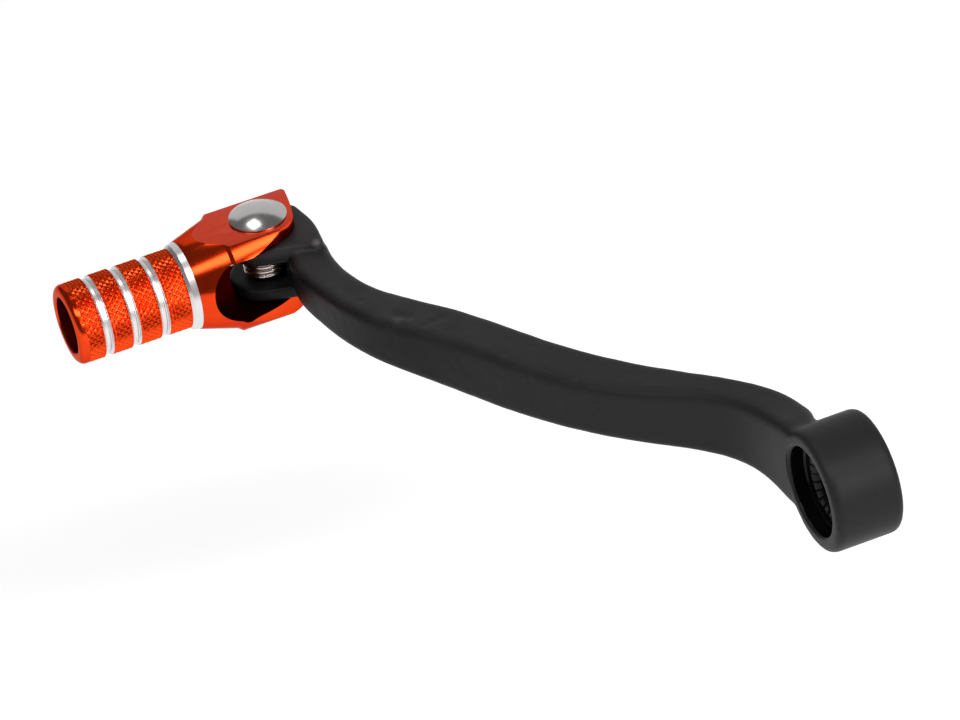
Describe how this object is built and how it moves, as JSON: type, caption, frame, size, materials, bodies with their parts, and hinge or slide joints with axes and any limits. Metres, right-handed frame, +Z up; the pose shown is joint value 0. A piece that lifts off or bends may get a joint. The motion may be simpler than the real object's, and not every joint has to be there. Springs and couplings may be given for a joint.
{
  "type": "gear shift lever",
  "caption": "Cranked motorcycle gear shift lever with a splined boss and a sprung folding tip with a ribbed, knurled toe barrel.",
  "frame": {"origin": "on the axis of the splined shaft bore, at mid-length of the boss", "axes": "+X forward from the boss to the folding tip, +Y outward along the shaft bore (the way the toe barrel points at rest), +Z up along the pivot pin"},
  "size_m": [0.176, 0.1306, 0.0282],
  "materials": {
    "arm_black": "satin black over a forging",
    "tip_orange": "orange anodised, with bright turned rings",
    "pin_steel": "polished",
    "washer_steel": "plain",
    "clip_steel": "blued spring steel",
    "bush_brass": "turned",
    "spring_steel": "drawn wire"
  },
  "bodies": {
    "lever": {"lever_arm": "arm_black", "spring_bush": "bush_brass", "return_spring": "spring_steel"},
    "folding_tip": {"tip_body": "tip_orange", "pivot_pin": "pin_steel", "upper_washer": "washer_steel", "lower_washer": "washer_steel", "retaining_clip": "clip_steel"}
  },
  "joints": [
    {"name": "tip_fold", "type": "hinge", "parent": "lever", "child": "folding_tip", "pos_m": [0.15, 0.074, 0], "axis": [0, 0, 1], "range_deg": [0, 55], "stiffness_Nm_per_rad": 0.25, "springref_deg": -34.38, "deforming": ["return_spring"]}
  ]
}
